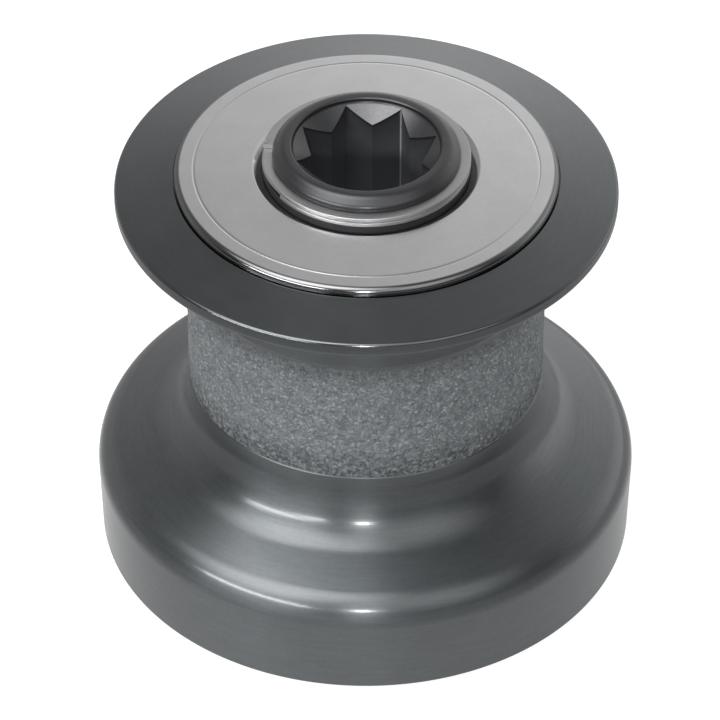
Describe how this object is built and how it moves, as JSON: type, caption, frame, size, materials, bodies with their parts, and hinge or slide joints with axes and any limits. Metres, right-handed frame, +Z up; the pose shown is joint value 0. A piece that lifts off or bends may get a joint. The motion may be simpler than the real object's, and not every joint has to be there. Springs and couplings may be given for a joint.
{
  "type": "sailing winch",
  "caption": "Plain-top sailing winch: waisted rope drum on roller bearings, ratchet pawls, bolted base and a star socket for a handle.",
  "frame": {"origin": "centre of the mounting face, on the drum's axis", "axes": "+Z up along the drum's axis, out of the handle socket; +X through the first deck bolt hole"},
  "size_m": [0.0942, 0.0942, 0.0829],
  "materials": {
    "drum_grey": "hard-anodised satin grey with fine turning lines and a grit-blasted band",
    "base_grey": "hard-anodised dark grey casting, machined stem",
    "spindle_grey": "dark satin steel",
    "cap_steel": "satin stainless steel",
    "ring_steel": "bright rolled stainless spring steel",
    "keeper_steel": "brushed stainless plate",
    "screw_steel": "turned stainless screw",
    "ratchet_bronze": "machined aluminium bronze",
    "pawl_bronze": "ground aluminium bronze",
    "spring_leaf": "thin stainless strip",
    "acetal_black": "moulded black acetal",
    "acetal_white": "turned natural acetal",
    "roller_steel": "ground stainless roller"
  },
  "bodies": {
    "base": {"base": "base_grey", "foot_bush": "acetal_white", "stem_bush": "acetal_white", "pawl_keeper": "keeper_steel", "keeper_screws": "screw_steel", "lower_thrust_washer": "acetal_white", "bearing_spacer": "acetal_black", "spindle_thrust_washer": "acetal_white", "base_pawl_spring_1": "spring_leaf", "base_pawl_spring_2": "spring_leaf"},
    "drum": {"drum": "drum_grey", "lower_ratchet_ring": "ratchet_bronze", "upper_ratchet_ring": "ratchet_bronze", "neck_bush": "acetal_white", "top_cap": "cap_steel"},
    "spindle": {"spindle": "spindle_grey", "spindle_washer": "acetal_black", "spindle_circlip": "ring_steel", "top_washer": "acetal_black", "retaining_ring": "ring_steel", "spindle_pawl_spring_1": "spring_leaf", "spindle_pawl_spring_2": "spring_leaf"},
    "lower_cage": {"lower_bearing_cage": "acetal_black", "lower_bearing_rollers": "roller_steel"},
    "upper_cage": {"upper_bearing_cage": "acetal_black", "upper_bearing_rollers": "roller_steel"},
    "base_pawl_1": {"base_pawl_1": "pawl_bronze"},
    "base_pawl_2": {"base_pawl_2": "pawl_bronze"},
    "spindle_pawl_1": {"spindle_pawl_1": "pawl_bronze"},
    "spindle_pawl_2": {"spindle_pawl_2": "pawl_bronze"}
  },
  "joints": [
    {"name": "drum_spin", "type": "hinge", "parent": "base", "child": "drum", "pos_m": [0, 0, 0], "axis": [0, 0, 1], "continuous": true},
    {"name": "spindle_spin", "type": "hinge", "parent": "base", "child": "spindle", "pos_m": [0, 0, 0], "axis": [0, 0, 1], "continuous": true},
    {"name": "lower_cage_spin", "type": "hinge", "parent": "base", "child": "lower_cage", "pos_m": [0, 0, 0], "axis": [0, 0, 1], "continuous": true},
    {"name": "upper_cage_spin", "type": "hinge", "parent": "base", "child": "upper_cage", "pos_m": [0, 0, 0], "axis": [0, 0, 1], "continuous": true},
    {"name": "base_pawl_1_swing", "type": "hinge", "parent": "base", "child": "base_pawl_1", "pos_m": [0.0264, 0, 0.013], "axis": [0, 0, 1], "range_deg": [0, 14], "stiffness_Nm_per_rad": 0.002, "springref_deg": 28.65, "deforming": ["base_pawl_spring_1"]},
    {"name": "base_pawl_2_swing", "type": "hinge", "parent": "base", "child": "base_pawl_2", "pos_m": [-0.0264, 0, 0.013], "axis": [0, 0, 1], "range_deg": [0, 14], "stiffness_Nm_per_rad": 0.002, "springref_deg": 28.65, "deforming": ["base_pawl_spring_2"]},
    {"name": "spindle_pawl_1_swing", "type": "hinge", "parent": "spindle", "child": "spindle_pawl_1", "pos_m": [0.00635, 0.01534, 0.058], "axis": [0, 0, 1], "range_deg": [0, 15], "stiffness_Nm_per_rad": 0.001, "springref_deg": 28.65, "deforming": ["spindle_pawl_spring_1"]},
    {"name": "spindle_pawl_2_swing", "type": "hinge", "parent": "spindle", "child": "spindle_pawl_2", "pos_m": [-0.00635, -0.01534, 0.058], "axis": [0, 0, 1], "range_deg": [0, 15], "stiffness_Nm_per_rad": 0.001, "springref_deg": 28.65, "deforming": ["spindle_pawl_spring_2"]}
  ],
  "couplings": [
    {"joint": "lower_cage_spin", "follows": "drum_spin", "ratio": 0.558},
    {"joint": "upper_cage_spin", "follows": "drum_spin", "ratio": 0.558}
  ]
}
